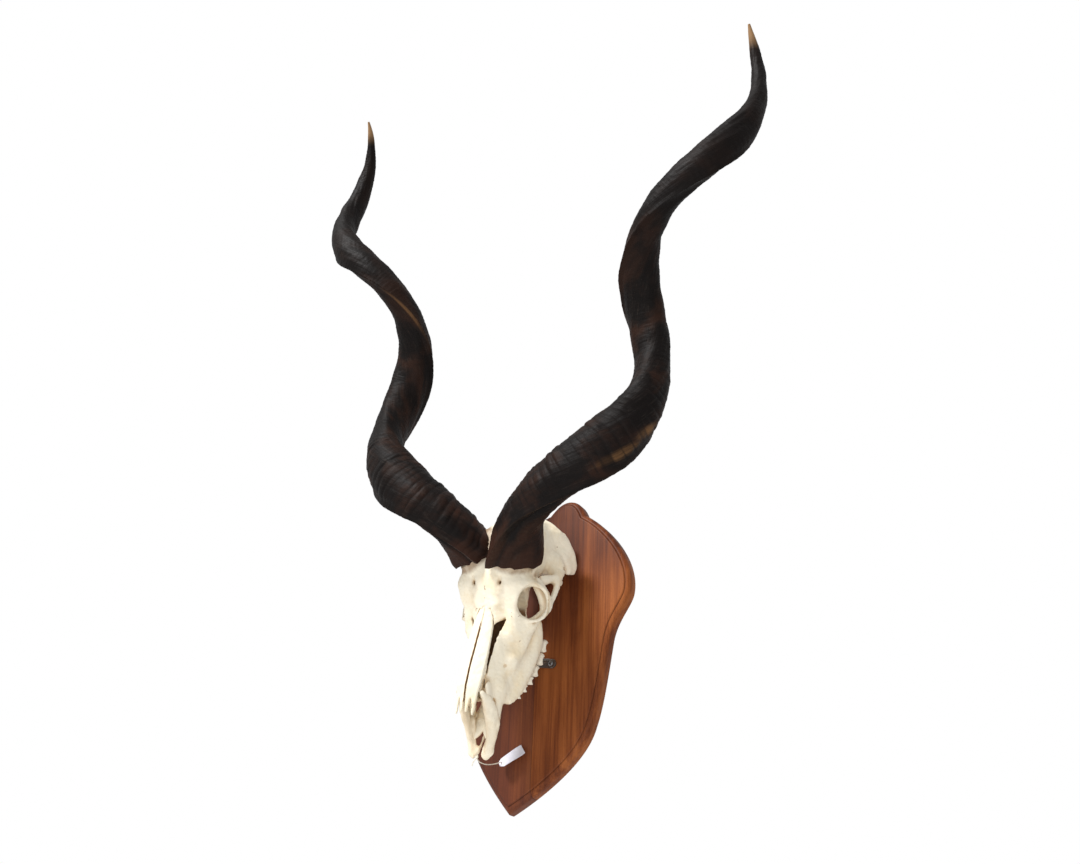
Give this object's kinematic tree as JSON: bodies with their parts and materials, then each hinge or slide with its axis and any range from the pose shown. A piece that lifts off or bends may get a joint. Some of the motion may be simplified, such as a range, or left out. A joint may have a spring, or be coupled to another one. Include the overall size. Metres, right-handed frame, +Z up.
{
  "type": "antelope skull and horn wall mount",
  "caption": "Kudu antelope skull with two long dark corkscrew horns, fixed to a varnished wooden shield with a moulded edge that hangs flat on a wall.",
  "frame": {"origin": "middle of the shield's flat back, level with the mid-height of the shield, on the skull's plane of symmetry", "axes": "+Y into the wall, so the skull faces -Y; +Z up, with the nose down and the horn tips up; +X to the viewer's right, across the plane of symmetry"},
  "size_m": [0.9027, 0.4246, 1.2608],
  "materials": {
    "shield_wood": "satin varnished reddish-brown hardwood with upright grain",
    "bone": "matt bleached bone, cream with faint tan staining",
    "tooth_enamel": "semi-gloss cream enamel with brown stain in the folds",
    "horn": "dark brown-black keratin, ringed and fibrous, satin, tan at the tips",
    "steel": "satin grey steel",
    "tag_card": "plain white card, blank",
    "string": "thin cream twisted string"
  },
  "bodies": {
    "root": {"shield": "shield_wood", "skull": "bone", "horn_left": "horn", "nasal_left": "bone", "premaxilla_left": "bone", "horn_right": "horn", "nasal_right": "bone", "premaxilla_right": "bone", "tooth_left_1": "tooth_enamel", "tooth_left_2": "tooth_enamel", "tooth_left_3": "tooth_enamel", "tooth_left_4": "tooth_enamel", "tooth_left_5": "tooth_enamel", "tooth_left_6": "tooth_enamel", "tooth_right_1": "tooth_enamel", "tooth_right_2": "tooth_enamel", "tooth_right_3": "tooth_enamel", "tooth_right_4": "tooth_enamel", "tooth_right_5": "tooth_enamel", "tooth_right_6": "tooth_enamel", "bracket": "steel", "bracket_screw_left": "steel", "bracket_screw_right": "steel", "tag": "tag_card", "tag_string": "string"}
  },
  "joints": []
}
